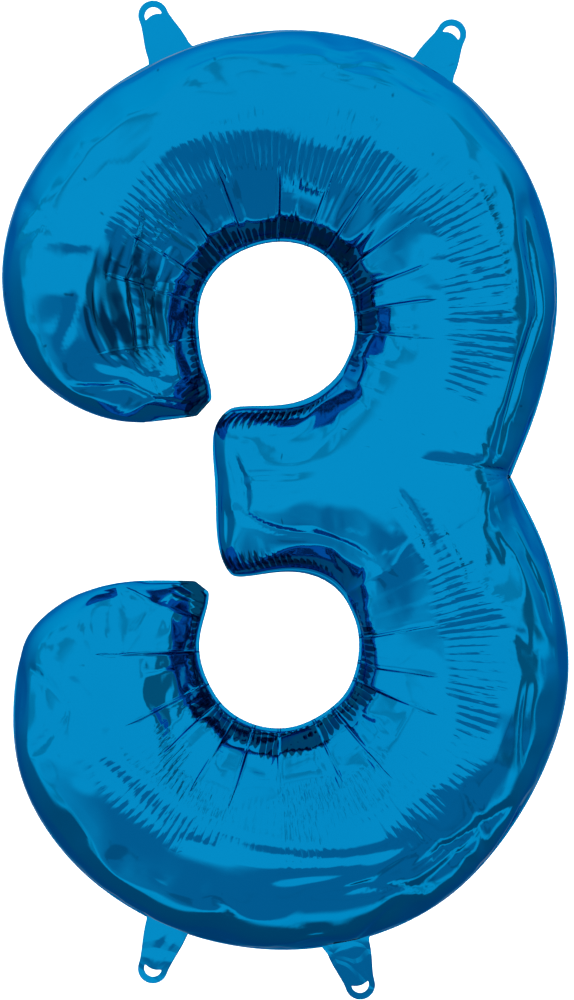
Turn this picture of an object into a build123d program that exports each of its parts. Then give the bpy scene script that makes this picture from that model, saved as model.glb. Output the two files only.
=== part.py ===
from build123d import *
from math import cos, sin, radians
import os

# Foil number balloon, figure three.  Millimetres.  X right, Z up, the front film faces -Y.
# Two films lie face to face, sealed all round in the plane y = 0, and gas pushes them apart.

# ---- driving sizes ---------------------------------------------------------------------------
balloon_height = 864.0      # tip of the top left tab to tip of the fill tab
stroke_depth = 148.0        # front to back through the fattest part of the stroke
film = 0.6                  # one film
seam_width = 5.0            # flat heat seal round the outside and round both counters
tab_root_width = 38.0       # a tab where it leaves the seam
tab_tip_width = 26.0        # the same tab at its hole
hinge_gap = 1.6             # bending line between the seam and a tab
hole_width = 14.8           # crescent hole, horn to horn
hole_rise = 8.6             # its outer arc, above the line between the horns
hole_height = 6.4           # crescent hole, across its middle
hole_edge = 6.0             # film left between the hole and the tip of the tab
valve_width = 24.0          # the two clear plies of the valve
valve_length = 96.0         # from the bending line to the free end
valve_ply = 0.3             # one ply
valve_seal = 12.0           # length of the valve that is sealed between the films
leaf_gap = 0.8              # bending line between the sealed ply and its free leaf
inlet_width = 17.0          # window in the back of the fill tab
inlet_height = 9.0
channel_depth = 0.25        # space left between the plies of the fill tab, each side of the middle
leaf_air = 0.3              # air between the free leaf and the front ply, valve at rest
side_fit = 0.1              # air left beside the valve where it passes through the seam

# ---- the figure, drawn for a balloon 864 mm tall and scaled to the height wanted ---------------
k = balloon_height / 864.0
upper_centre = (-7.5, 152.0)
lower_centre = (-5.0, -129.0)
half_depth = stroke_depth / 2

# Upper bowl: angle about its counter, counter radius, outer radius, share of the half depth.
upper_ribs = [
    (226, 80, 112, 0.06),
    (220, 75, 134, 0.28),
    (211, 72, 163, 0.50),
    (201, 69, 192, 0.66),
    (190, 67, 219, 0.80),
    (176, 67, 237, 0.92),
    (158, 69, 248, 0.98),
    (134, 70, 250, 1.00),
    (108, 70, 252, 1.00),
    (82, 72, 257, 1.00),
    (56, 73, 261, 1.00),
    (30, 70, 255, 0.99),
    (6, 68, 246, 0.96),
    (345, 69, 238, 0.90),
]
# Waist, where both bowls and the middle bar meet: inner end, outer end, share of the half depth.
waist_ribs = [
    ((47, 104), (199, 33), 0.86),
    ((38, 12), (198, 19), 0.84),
    ((51, -82), (206, 1), 0.88),
]
# Lower bowl, the same way round as the upper one.
lower_ribs = [
    (20, 71, 247, 0.93),
    (354, 69, 253, 0.98),
    (328, 69, 253, 1.00),
    (302, 67, 261, 1.00),
    (276, 68, 261, 1.00),
    (250, 68, 259, 1.00),
    (226, 68, 257, 1.00),
    (206, 67, 250, 0.97),
    (189, 68, 232, 0.89),
    (176, 69, 218, 0.79),
    (166, 69, 188, 0.62),
    (156, 70, 146, 0.42),
    (148, 72, 118, 0.24),
    (143, 75, 98, 0.06),
]
# Middle bar: how far right, its bottom, its top, share of the half depth.
bar_ribs = [
    (-56, -28, 44, 0.06),
    (-51, -47, 60, 0.30),
    (-40, -58, 71, 0.50),
    (-22, -59, 76, 0.66),
    (2, -55, 76, 0.77),
    (28, -58, 84, 0.82),
    (56, -70, 96, 0.82),
    (90, -52, 84, 0.74),
    (120, -30, 62, 0.55),
]
notch = (197, 21)
upper_tip = (-62, 88.5)
lower_tip = (-66, -79)
# Free end of the middle bar, from its lower to its upper corner.
bar_end = [(-47, -66), (-54, -53), (-58.5, -35), (-59.5, -8), (-60, 18), (-62.5, 42), (-61, 66), (-54, 77), (-46, 81)]
# Where the counters run along the middle bar: angle, counter radius.
lower_counter_roof = [(40, 74), (56, 75), (72, 71), (88, 67), (104, 66)]
upper_counter_floor = [(256, 72), (272, 71), (288, 71.5), (304, 72), (322, 71)]

# Tabs: centre of the root, direction it points, length.
tabs = {
    "top_left_tab": ((-100.0, 388.0), 113.5, 46.7),
    "top_right_tab": ((129.5, 375.0), 62.0, 44.5),
    "bottom_left_tab": ((-101.0, -367.5), 251.0, 52.0),
    "bottom_right_tab": ((55.0, -385.5), 287.5, 48.2),
}


def around(centre, angle, radius):
    """A point of the drawing at an angle and radius about a counter's centre."""
    return (centre[0] + radius * cos(radians(angle)), centre[1] + radius * sin(radians(angle)))


def flat(point):
    """A point of the drawing on the seam plane, at full scale."""
    return Vector(point[0] * k, 0, point[1] * k)


def upright_of(station):
    """The direction square to an oval, from the lower bowl's end of the stroke to the upper one's."""
    across = flat(station[1]) - flat(station[0])
    return across.normalized().cross(Vector(0, 1, 0))


def half_oval(inner, outer, share, kind):
    """The front half of one oval section of the stroke: its skin, its hollow or all of it."""
    start = flat(inner)
    across = flat(outer) - start
    half_width = across.length / 2 - seam_width
    depth = half_depth * share
    plane = Plane(origin=start + across * 0.5, x_dir=across.normalized(), z_dir=upright_of((inner, outer)))
    if kind == "hollow":
        half_width -= film
        depth -= film
    bow = EllipticalCenterArc((0, 0), half_width, depth, 180, arc_size=180)
    if kind != "skin":
        return (plane * make_face([bow, Line(bow @ 1, bow @ 0)])).face()
    inside = EllipticalCenterArc((0, 0), half_width - film, depth - film, 180, arc_size=180)
    feet = [Line(bow @ 0, inside @ 0), Line(bow @ 1, inside @ 1)]
    return (plane * make_face([bow, inside] + feet)).face()


def eased(before, start, end, after, share):
    """A value on the smooth curve through four equally spaced ones, between the middle two."""
    bend = 2 * before - 5 * start + 4 * end - after
    swing = 3 * (start - end) + after - before
    return start + 0.5 * share * (end - before + share * (bend + share * swing))


def filled_in(stations, steps):
    """The same stations with smooth ones added between them."""
    flats = [(a[0], a[1], b[0], b[1], share) for a, b, share in stations]
    flats = [flats[0]] + flats + [flats[-1]]
    full = []
    for before, start, end, after in zip(flats, flats[1:], flats[2:], flats[3:]):
        for step in range(steps):
            full.append([eased(*values, step / steps) for values in zip(before, start, end, after)])
    full.append(flats[-1])
    return [((v[0], v[1]), (v[2], v[3]), v[4]) for v in full]


def stroke_stations():
    """Inner end, outer end and share of the half depth, all along the stroke."""
    upper = [(around(upper_centre, a, near), around(upper_centre, a, far), share) for a, near, far, share in upper_ribs]
    lower = [(around(lower_centre, a, near), around(lower_centre, a, far), share) for a, near, far, share in lower_ribs]
    return filled_in(upper + waist_ribs + lower, 3)


def bar_stations():
    """The same for the middle bar, from its free end to deep inside the stroke."""
    bar = [((x, low - seam_width), (x, high + seam_width), share) for x, low, high, share in bar_ribs]
    return filled_in(bar, 2)


def tube(stations, kind):
    """A run of half ovals joined into one solid."""
    return loft([half_oval(*station, kind) for station in stations], ruled=True)


def front_skin():
    """The front film's inflated skin: the stroke, the bar, and where the two run together."""
    along = stroke_stations()
    branch = bar_stations()
    skin = tube(along, "skin") - tube(branch, "hollow")
    skin += tube(branch, "skin") - tube(along, "hollow")
    # thin ends close the two tips and the bar
    for station, inward in ((along[0], -1), (along[-1], 1), (branch[0], -1)):
        skin += extrude(half_oval(*station, "all"), film, dir=upright_of(station) * inward)
    return skin


def outline(inset):
    """The figure's edge moved inwards: outside, notch, both ends and both counters."""
    end_ribs = upper_ribs[0], lower_ribs[-1]
    tips = [upper_tip, lower_tip]
    if inset > 0:
        tips = [around(c, r[0], (r[1] + r[2]) / 2) for c, r in zip((upper_centre, lower_centre), end_ribs)]
    waist_top, waist_middle, waist_bottom = [(far[0] - inset, far[1]) for near, far, share in waist_ribs]
    corner = (notch[0] - inset, notch[1])
    low = [(x + inset, z + inset * (1 if z < -50 else 0) - inset * (1 if z > 70 else 0)) for x, z in bar_end]
    outside_upper = [tips[0]]
    outside_upper += [around(upper_centre, a, far - inset) for a, near, far, share in upper_ribs]
    outside_upper += [waist_top, corner]
    outside_lower = [corner, waist_bottom]
    outside_lower += [around(lower_centre, a, far - inset) for a, near, far, share in lower_ribs]
    outside_lower += [tips[1]]
    lower_counter = [tips[1]]
    lower_counter += [around(lower_centre, a, near + inset) for a, near, far, share in reversed(lower_ribs[:-1])]
    lower_counter += [around(lower_centre, a, near + inset) for a, near in lower_counter_roof]
    lower_counter += [low[0]]
    upper_counter = [low[-1]]
    upper_counter += [around(upper_centre, a, near + inset) for a, near in upper_counter_floor]
    upper_counter += [around(upper_centre, a, near + inset) for a, near, far, share in reversed(upper_ribs)]
    upper_counter += [tips[0]]
    runs = [outside_upper, outside_lower, lower_counter, low, upper_counter]
    edges = [Spline(*[flat(point) for point in run]) for run in runs]
    return Face(Wire(edges))


def tab_plane(name):
    """A tab's own frame: x across, y out along the tab, z towards the front film."""
    root, angle, length = tabs[name]
    across = Vector(sin(radians(angle)), 0, -cos(radians(angle)))
    return Plane(origin=flat(root), x_dir=across, z_dir=(0, -1, 0))


def block(plane, across, near, far, low, high):
    """A box in a tab's frame: its width, its run along the tab and its run through the films."""
    size = (across, far - near, high - low)
    return plane * Pos(0, (near + far) / 2, (low + high) / 2) * Box(*size)


def tab_shape(length):
    """Outline of a tab beyond its bending line, with its crescent hole."""
    root = tab_root_width / 2
    tip = tab_tip_width / 2
    start = hinge_gap / 2
    shoulder = length - tip
    left = Bezier((-root, start), (-root + 0.5, start + 13), (-tip, shoulder - 9), (-tip, shoulder))
    end = ThreePointArc((-tip, shoulder), (0, length), (tip, shoulder))
    right = Bezier((tip, shoulder), (tip, shoulder - 9), (root - 0.5, start + 13), (root, start))
    base = Line((root, start), (-root, start))
    horn = hole_width / 2
    horn_line = length - hole_edge - hole_rise
    outer_arc = ThreePointArc((-horn, horn_line), (0, horn_line + hole_rise), (horn, horn_line))
    inner_arc = ThreePointArc((horn, horn_line), (0, horn_line + hole_rise - hole_height), (-horn, horn_line))
    return make_face([left, end, right, base]) - make_face([outer_arc, inner_arc])


# ---- the two films ----------------------------------------------------------------------------
skin = front_skin()
rim = extrude(outline(0), film, dir=(0, -1, 0))
seam = rim - extrude(outline(seam_width + 1.5), film, dir=(0, -1, 0))
for name in tabs:
    plane = tab_plane(name)
    seam += block(plane, tab_root_width, -seam_width - 1.5, -hinge_gap / 2, 0, film)
    seam -= block(plane, tab_root_width + 6, -hinge_gap / 2, 8, -2, 2)
front = skin + seam
fill_plane = tab_plane("bottom_right_tab")
mouth = -hinge_gap / 2
slot = block(fill_plane, valve_width + 2 * side_fit, -valve_seal, mouth + 1, -valve_ply, valve_ply)
pieces = {}
pieces["front_film"] = front - slot
pieces["back_film"] = mirror(front, about=Plane.XZ) - slot

# ---- the valve: two clear plies lying in the seam of the fill tab and running up inside ---------
sealed = mouth - valve_seal
free_end = mouth - valve_length
pieces["valve_front_ply"] = block(fill_plane, valve_width, free_end, mouth, 0, valve_ply)
pieces["valve_back_ply"] = block(fill_plane, valve_width, sealed, mouth, -valve_ply, 0)
leaf_face = -leaf_air
leaf = block(fill_plane, valve_width, free_end, sealed - leaf_gap, leaf_face - valve_ply, leaf_face)
pieces["valve_back_leaf"] = leaf

# ---- four hanging tabs, two plies each ----------------------------------------------------------
for name, (root, angle, length) in tabs.items():
    plane = tab_plane(name)
    shape = tab_shape(length)
    front = plane * extrude(shape, film)
    back = plane * extrude(shape, -film)
    if name == "bottom_right_tab":
        near = hinge_gap / 2
        window_near = near + 7
        wide = inlet_width / 2
        arch = ThreePointArc((-wide, window_near), (0, window_near + inlet_height), (wide, window_near))
        sill = Line((wide, window_near), (-wide, window_near))
        window = plane * Pos(0, 0, -2) * extrude(make_face([arch, sill]), 2)
        channel_end = window_near + inlet_height * 0.5
        front -= block(plane, valve_width, near - 1, channel_end, -1, channel_depth)
        back -= block(plane, valve_width, near - 1, channel_end, -channel_depth, 1)
        back -= window
    pieces[name + "_front"] = front
    pieces[name + "_back"] = back

# ---- the whole balloon is centred on the origin and written out ----------------------------------
whole = Compound(children=[Compound(piece.solids()) for piece in pieces.values()])
box = whole.bounding_box()
middle = (box.min + box.max) * 0.5
os.makedirs("parts", exist_ok=True)
for name, piece in pieces.items():
    solids = piece.solids()
    print(name, len(solids), round(piece.volume, 1))
    export_step(Pos(-middle.X, -middle.Y, -middle.Z) * solids[0], "parts/" + name + ".step")
print("size", [round(v, 2) for v in (box.size.X, box.size.Y, box.size.Z)])
print("shift", [round(-v, 3) for v in (middle.X, middle.Y, middle.Z)])
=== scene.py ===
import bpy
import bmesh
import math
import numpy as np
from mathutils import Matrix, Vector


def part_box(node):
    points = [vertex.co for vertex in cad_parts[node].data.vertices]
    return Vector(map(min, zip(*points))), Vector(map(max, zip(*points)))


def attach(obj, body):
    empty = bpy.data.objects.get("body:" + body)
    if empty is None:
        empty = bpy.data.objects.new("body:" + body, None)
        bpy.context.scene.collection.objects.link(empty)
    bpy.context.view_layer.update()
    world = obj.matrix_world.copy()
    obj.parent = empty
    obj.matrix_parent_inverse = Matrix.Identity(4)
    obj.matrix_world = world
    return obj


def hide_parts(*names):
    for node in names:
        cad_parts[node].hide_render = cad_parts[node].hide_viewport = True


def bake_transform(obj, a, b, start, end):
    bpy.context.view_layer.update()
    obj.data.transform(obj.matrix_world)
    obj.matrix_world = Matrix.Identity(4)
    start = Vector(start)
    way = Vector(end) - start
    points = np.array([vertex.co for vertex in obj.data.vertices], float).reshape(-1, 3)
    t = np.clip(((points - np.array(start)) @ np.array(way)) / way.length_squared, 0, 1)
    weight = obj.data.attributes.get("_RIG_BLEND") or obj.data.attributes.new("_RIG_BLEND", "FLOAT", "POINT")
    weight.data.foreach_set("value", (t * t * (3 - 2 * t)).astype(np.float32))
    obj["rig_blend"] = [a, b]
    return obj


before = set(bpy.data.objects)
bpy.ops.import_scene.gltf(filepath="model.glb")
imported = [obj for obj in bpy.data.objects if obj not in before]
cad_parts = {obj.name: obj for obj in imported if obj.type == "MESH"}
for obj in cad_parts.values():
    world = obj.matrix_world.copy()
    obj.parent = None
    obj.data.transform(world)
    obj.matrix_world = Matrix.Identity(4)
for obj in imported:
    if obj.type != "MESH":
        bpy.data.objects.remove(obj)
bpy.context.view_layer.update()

# %% [markdown]
# # A foil number balloon, figure three
# A foil balloon starts as two flat films of thin metallised plastic, cut to the same outline and
# welded together round every edge. Gas pushes the films apart, so the stroke becomes a fat oval
# tube. The film cannot stretch, so wherever the outline curves, the extra length shows as creases
# that run away from the weld. This lesson makes the films as one mesh each, gives them the height
# that a taut skin takes, folds the creases in, and lets a short cloth simulation pull them tight.

MM = 0.001
rng = np.random.default_rng(33)
film_low, film_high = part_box("front_film")
print("front film", [round(v, 4) for v in (*film_low, *film_high)])

# %% [markdown]
# ## The outline
# The figure is two bowls round two open counters, joined at a waist on the right, with a middle
# bar growing from the waist. Each bowl is written as stations: an angle about its counter, the
# counter's radius and the outer radius, in millimetres. Stations are easier to adjust than a
# drawn curve, because each one is also where an oval section of the tube stands.

# %% Stations of the outline
UPPER = np.array([-7.5, 152.0])
LOWER = np.array([-5.0, -129.0])
SEAM = 2.4  # width of the weld
upper_stations = [
    (228, 83, 107), (220, 75, 134), (211, 72, 163), (201, 69, 192), (190, 67, 219), (176, 67, 237),
    (158, 69, 248), (134, 70, 250), (108, 70, 252), (82, 72, 257), (56, 73, 261), (30, 70, 255),
    (6, 68, 246), (-15, 69, 238),
]
lower_stations = [
    (20, 71, 247), (-6, 69, 253), (-32, 69, 253), (-58, 67, 261), (-84, 68, 261), (-110, 68, 259),
    (-134, 68, 257), (-154, 67, 250), (-171, 68, 232), (-184, 69, 218), (-194, 69, 188),
    (-204, 70, 146), (-212, 72, 118), (-218, 76, 96),
]
# Waist: where the bar's two corners and its middle line meet the stroke, and the notch outside.
waist_stations = [((48.5, 108.0), (199.5, 30.0)), ((43.0, 13.0), (196.5, 20.5)),
                  ((51.7, -81.0), (201.0, 9.5))]
bar_floor = [(51.7, -81.0), (45.0, -72.5), (27.1, -63.2), (7.2, -60.6), (-11.8, -62.4), (-30, -66.0),
             (-45.5, -66.5)]
bar_roof = [(48.5, 108.0), (40.2, 99.0), (24.0, 87.8), (4.8, 82.3), (-14.9, 81.8), (-33, 82.0), (-47, 80.5)]
bar_tip = [(-45.5, -66.5), (-54, -53), (-58.5, -35), (-59.5, -8), (-60, 18), (-62.5, 42), (-61, 66),
           (-47, 80.5)]


def polar(centre, angle, radius):
    """A point at an angle in degrees and a radius about a centre."""
    return centre + radius * np.array([math.cos(math.radians(angle)), math.sin(math.radians(angle))])


def hermite(t, width, a, slope_a, b, slope_b):
    """A smooth curve from a to b with a slope at each end, at shares t of the width between them."""
    return ((1 + 2 * t) * (1 - t) ** 2 * a + t * (1 - t) ** 2 * width * slope_a
            + t * t * (3 - 2 * t) * b + t * t * (t - 1) * width * slope_b)


def through(points, knots, at):
    """A smooth curve through points at their knots, sampled at the values asked for."""
    points = np.asarray(points, float)
    knots = np.asarray(knots, float)
    slope = np.gradient(points, knots, axis=0)
    at = np.asarray(at, float)
    i = np.clip(np.searchsorted(knots, at, side="right") - 1, 0, len(knots) - 2)
    width = (knots[i + 1] - knots[i])[:, None]
    t = ((at - knots[i]) / (knots[i + 1] - knots[i]))[:, None]
    return hermite(t, width, points[i], slope[i], points[i + 1], slope[i + 1])


def lengths(points):
    """Distance along a run of points."""
    steps = np.linalg.norm(np.diff(np.asarray(points, float), axis=0), axis=1)
    return np.concatenate([[0], np.cumsum(steps)])


def resampled(points, fractions):
    """Points at fractions of a smooth curve's length."""
    along = lengths(points)
    fine = through(points, along, np.linspace(0, along[-1], 400))
    fine_along = lengths(fine)
    wanted = np.asarray(fractions) * fine_along[-1]
    return np.stack([np.interp(wanted, fine_along, fine[:, c]) for c in (0, 1)], axis=1)


near = [polar(UPPER, a, r) for a, r, q in upper_stations] + [np.array(w[0]) for w in waist_stations]
near += [polar(LOWER, a, r) for a, r, q in lower_stations]
far = [polar(UPPER, a, q) for a, r, q in upper_stations] + [np.array(w[1]) for w in waist_stations]
far += [polar(LOWER, a, q) for a, r, q in lower_stations]
near, far = np.array(near), np.array(far)
first_corner = len(upper_stations)
last_corner = first_corner + 2
shift = np.array([-0.8, 0.083])
# the cut edge is at the stations, and the inflated skin starts a weld's width inside it
reach = (far - near) / np.linalg.norm(far - near, axis=1)[:, None]
skin_far = far - reach * SEAM
skin_near = near + reach * SEAM
skin_near[first_corner + 1] = near[first_corner + 1]
print("stations", len(near), "waist columns run from", first_corner, "to", last_corner)

# %% [markdown]
# ## A grid that follows the stroke
# Creases run across the stroke or along it, so the mesh runs the same two ways. Columns go from
# the counter's weld to the outer weld, and rows follow the stroke. Rows are spaced by equal turns
# of the oval section, which keeps the faces even where the skin stands upright at the weld. The
# bar is a second grid that shares its right-hand column of points with the waist.

# %% Build the flat plan of both grids at any fineness
UP, WAIST, DOWN, ACROSS, BAR = 29, 8, 28, 9, 5


def plan(fine):
    """Plan positions of the stroke grid and the bar grid, in millimetres."""
    knots = np.zeros(len(near))
    for i in range(1, len(near)):
        inner = np.linalg.norm(near[i] - near[i - 1])
        outer = np.linalg.norm(far[i] - far[i - 1])
        knots[i] = knots[i - 1] + 0.75 * inner + 0.25 * outer
    u0, u1, u2 = knots[0], knots[first_corner], knots[last_corner]
    upper = np.linspace(u0, u1, UP * fine + 1)
    even = np.arange(WAIST * fine + 1) / (WAIST * fine)
    turn = 0.7 * (1 - np.cos(np.pi * even)) / 2 + 0.3 * even
    middle = u1 + (u2 - u1) * turn
    lower = np.linspace(u2, knots[-1], DOWN * fine + 1)
    columns = np.concatenate([upper, middle[1:-1], lower])
    a = through(skin_near, knots, columns)
    b = through(skin_far, knots, columns)
    lo, hi = UP * fine, (UP + WAIST) * fine
    # shared line between the waist and the bar
    line = resampled([skin_near[first_corner], near[first_corner + 1], skin_near[last_corner]], turn)
    a[lo:hi + 1] = line
    start = np.zeros(len(columns))
    start[lo:hi + 1] = (np.pi / 2) * np.sin(np.pi * turn)
    rows = np.arange(ACROSS * fine + 1) / (ACROSS * fine)
    angle = start[:, None] + (np.pi - start[:, None]) * rows[None, :]
    share = (np.cos(start)[:, None] - np.cos(angle)) / (np.cos(start)[:, None] + 1)
    stroke = a[:, None, :] + (b - a)[:, None, :] * share[:, :, None]
    # the bar: a patch between its floor, roof, tip and the shared line
    left = np.sin(np.pi / 2 * np.arange(BAR * fine + 1) / (BAR * fine))
    roof_inner = np.array(bar_roof) - np.array([[0, SEAM]])
    floor_inner = np.array(bar_floor) + np.array([[0, SEAM]])
    tip_inner = np.array(bar_tip) + np.array([[SEAM, 0]])
    roof_inner[0], floor_inner[0] = line[0], line[-1]
    tip_inner[0] = floor_inner[-1] = np.array(bar_floor[-1]) + np.array([SEAM * 0.6, SEAM])
    tip_inner[-1] = roof_inner[-1] = np.array(bar_roof[-1]) + np.array([SEAM * 0.6, -SEAM])
    roof = resampled(roof_inner, left)
    floor = resampled(floor_inner, left)
    tip = resampled(tip_inner[::-1], turn)
    s = left[:, None, None]
    t = turn[None, :, None]
    bar = ((1 - s) * line[None] + s * tip[None] + (1 - t) * roof[:, None] + t * floor[:, None]
           - (1 - s) * (1 - t) * line[0] - (1 - s) * t * line[-1] - s * (1 - t) * tip[0] - s * t * tip[-1])
    return stroke, bar


def numbering(stroke, bar):
    """One number per point, with the shared line counted once, and which points lie on the weld."""
    columns, rows = stroke.shape[:2]
    stroke_ids = np.arange(columns * rows).reshape(columns, rows)
    lo = UP * ((rows - 1) // ACROSS)
    bar_ids = np.zeros(bar.shape[:2], int)
    bar_ids[0] = stroke_ids[lo:lo + bar.shape[1], 0]
    bar_ids[1:] = columns * rows + np.arange((bar.shape[0] - 1) * bar.shape[1]).reshape(-1, bar.shape[1])
    welded = np.zeros(bar_ids.max() + 1, bool)
    welded[stroke_ids[:, -1]] = True
    welded[stroke_ids[:, 0]] = True
    welded[bar_ids[0]] = False
    welded[stroke_ids[0]] = True
    welded[stroke_ids[-1]] = True
    welded[bar_ids[:, 0]] = True
    welded[bar_ids[:, -1]] = True
    welded[bar_ids[-1]] = True
    flat = np.zeros((bar_ids.max() + 1, 2))
    flat[stroke_ids] = stroke
    flat[bar_ids] = bar
    return stroke_ids, bar_ids, flat, welded


def quads(ids):
    """The four corner numbers of every face of a grid."""
    return np.stack([ids[:-1, :-1], ids[1:, :-1], ids[1:, 1:], ids[:-1, 1:]], axis=-1).reshape(-1, 4)


# %% [markdown]
# ## How far the gas lifts the film
# A soap film over the same outline, with a little pressure under it, bulges by an amount u that
# obeys Poisson's equation. The square root of u is a half circle over a straight strip and runs
# smoothly through the waist and out to nothing at the tips, which is how a full balloon looks. It
# is solved once on a coarse copy of the grid and then carried to the fine one.

# %% Solve the soap film on the coarse grid
HALF_DEPTH = 73.5


def lift(fine):
    """Height of the film over a coarse plan, in millimetres."""
    stroke, bar = plan(fine)
    stroke_ids, bar_ids, flat, welded = numbering(stroke, bar)
    faces = np.concatenate([quads(stroke_ids), quads(bar_ids)])
    corners = np.concatenate([faces[:, [0, 1, 2]], faces[:, [0, 2, 3]]])
    p = flat[corners]
    e0, e1, e2 = p[:, 2] - p[:, 1], p[:, 0] - p[:, 2], p[:, 1] - p[:, 0]
    area = np.abs(e1[:, 0] * e2[:, 1] - e1[:, 1] * e2[:, 0]) / 2 + 1e-6
    matrix = np.zeros((len(flat), len(flat)))
    load = np.zeros(len(flat))
    edges = (e0, e1, e2)
    for i in range(3):
        np.add.at(load, corners[:, i], area / 3)
        for j in range(3):
            np.add.at(matrix, (corners[:, i], corners[:, j]), (edges[i] * edges[j]).sum(1) / (4 * area))
    free = ~welded
    u = np.zeros(len(flat))
    u[free] = np.linalg.solve(matrix[np.ix_(free, free)], load[free])
    high = np.sqrt(np.maximum(2 * u, 0))
    return high[stroke_ids], high[bar_ids]


def refined(values, times):
    """Values on a grid carried to a finer one by smooth curves, first one way and then the other."""
    for axis in (0, 1):
        values = np.moveaxis(values, axis, 0)
        count = values.shape[0]
        flat = values.reshape(count, -1)
        values = through(flat, np.arange(count), np.linspace(0, count - 1, (count - 1) * times + 1))
        values = values.reshape((-1,) + flat.shape[1:])
        values = np.moveaxis(values, 0, axis)
    return values


COARSE, FINE = 2, 8
stroke_high, bar_high = lift(COARSE)
print("soap film crest", round(float(stroke_high.max()), 1), "bar", round(float(bar_high.max()), 1))

# %% [markdown]
# ## The section of a bowl
# Film that is gathered carries no pull round the bowl, only across it. Its curve then gets sharper
# with the distance from the middle of the counter, so the wall at the counter is a long, steep and
# nearly straight ramp, and the crest stands nearer the outer edge.

# %% Lay the bowls' own section over the soap film
stroke_plan, bar_plan = plan(FINE)
times = FINE // COARSE
cuts = [0, UP * COARSE, (UP + WAIST) * COARSE, (UP + WAIST + DOWN) * COARSE]
blocks = [refined(stroke_high[a:b + 1], times) for a, b in zip(cuts, cuts[1:])]
stroke_high = np.maximum(np.concatenate([blocks[0]] + [b[1:] for b in blocks[1:]]), 0)
bar_high = np.maximum(refined(bar_high, times), 0)
stroke_ids, bar_ids, flat, welded = numbering(stroke_plan, bar_plan)
lo, hi = UP * FINE, (UP + WAIST) * FINE


def section(inner, outer, radii):
    """Heights of a gathered film between two radii, for the curve that closes on itself."""
    low, high = inner, math.sqrt((inner ** 2 + outer ** 2) / 2)
    for _ in range(24):
        crest = (low + high) / 2
        bend = outer ** 2 - crest ** 2
        start = math.asin(min(1.0, (crest ** 2 - inner ** 2) / bend))
        lean = np.linspace(-start, math.pi / 2, 90)
        at = np.sqrt(np.maximum(crest ** 2 + bend * np.sin(lean), 1))
        slope = np.sin(lean) * bend / (2 * at)
        steps = (slope[1:] + slope[:-1]) / 2 * (lean[1] - lean[0])
        if steps.sum() > 0:
            low = crest
        else:
            high = crest
    height = np.concatenate([np.cumsum(steps[::-1])[::-1], [0]])
    return np.maximum(np.interp(radii, at, height), 0) / height.max()


def soft(values, low, high):
    """A smooth step from 0 at low to 1 at high."""
    t = np.clip((values - low) / (high - low), 0, 1)
    return t * t * (3 - 2 * t)


FULLNESS, SOFT_TOP = 0.86, 96.0  # how full the film is, and the height it can't pass
RAMP = 1.32  # 1 is a round section, and more makes the inner wall straighter
BRIDGE = 26.0  # reach of the smooth join between the waist and a bowl
high = np.zeros(len(flat))
high[bar_ids] = bar_high
high[stroke_ids] = stroke_high
high[welded] = 0
high = FULLNESS * high
high = high / (1 + (high / SOFT_TOP) ** 6) ** (1 / 6)
high *= HALF_DEPTH / np.percentile(high, 99.5)
row_share = np.linspace(0, 1, stroke_ids.shape[1])[None]
steep = RAMP - (RAMP - 1) * soft(row_share, 0.3, 0.75) + 0 * high[stroke_ids]
ramped = high.copy()
ramped[bar_ids] = HALF_DEPTH * (high[bar_ids] / HALF_DEPTH) ** RAMP
ramped[stroke_ids] = HALF_DEPTH * (high[stroke_ids] / HALF_DEPTH) ** steep
high = ramped
column = np.arange(len(stroke_ids))
in_bowl = soft(np.maximum(lo - column, column - hi), 0, 7 * FINE)
stroke_high = high[stroke_ids]
for i in range(len(stroke_ids)):
    centre = UPPER if i < len(stroke_ids) // 2 else LOWER
    radii = np.linalg.norm(stroke_plan[i] - centre, axis=1)
    own = section(radii[0], radii[-1], radii) * stroke_high[i].max()
    stroke_high[i] += in_bowl[i] * (own - stroke_high[i])
# the film has no fold where the waist meets a bowl, so the heights are carried smoothly across
for row in range(2, stroke_high.shape[1] - 1):
    run = lengths(stroke_plan[:, row])
    for c in (lo, hi):
        gap = min(BRIDGE, 0.32 * (run[hi] - run[lo])) * min(1.0, row / 14)
        inside = np.abs(run - run[c]) < gap
        a, b = inside.argmax() - 1, len(run) - inside[::-1].argmax()
        width = run[b] - run[a]
        slope_a = (stroke_high[a, row] - stroke_high[a - 6, row]) / (run[a] - run[a - 6])
        slope_b = (stroke_high[b + 6, row] - stroke_high[b, row]) / (run[b + 6] - run[b])
        t = (run[a:b + 1] - run[a]) / width
        first, last = stroke_high[a, row], stroke_high[b, row]
        stroke_high[a:b + 1, row] = hermite(t, width, first, slope_a, last, slope_b)
high[stroke_ids] = stroke_high
high[welded] = 0
print("lift", round(float(high.max()), 1), "mm over", len(flat), "points")

# %% [markdown]
# ## Creases
# Where the weld is curved, the film has more length than the weld has room for, so it gathers.
# Long creases run from the counter's weld to the crest and split the wall into flat panels, like
# the staves of a barrel. Between them the film ripples finely, and those ripples are left to the
# material, which needs to know how far along and how far from the weld each point is. Creases with
# a place of their own, such as the one from the notch, are listed one by one.

# %% Fold the gathers and creases into the grid
skin = np.stack([flat[:, 0], -high, flat[:, 1]], axis=1)


def normals_of(points, faces):
    """Unit normals, one per point, pointing away from the seam plane."""
    across = points[faces[:, 2]] - points[faces[:, 0]]
    along = points[faces[:, 3]] - points[faces[:, 1]]
    face_normal = np.cross(across, along)
    total = np.zeros_like(points)
    for c in range(4):
        np.add.at(total, faces[:, c], face_normal)
    total /= np.linalg.norm(total, axis=1)[:, None] + 1e-9
    return total * np.where(total[:, 1:2] > 0, -1, 1) if np.mean(total[:, 1]) > 0 else total


faces = np.concatenate([quads(stroke_ids), quads(bar_ids)])
outward = normals_of(skin, faces)
outward[welded, 1] = np.minimum(outward[welded, 1], 0)


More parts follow.
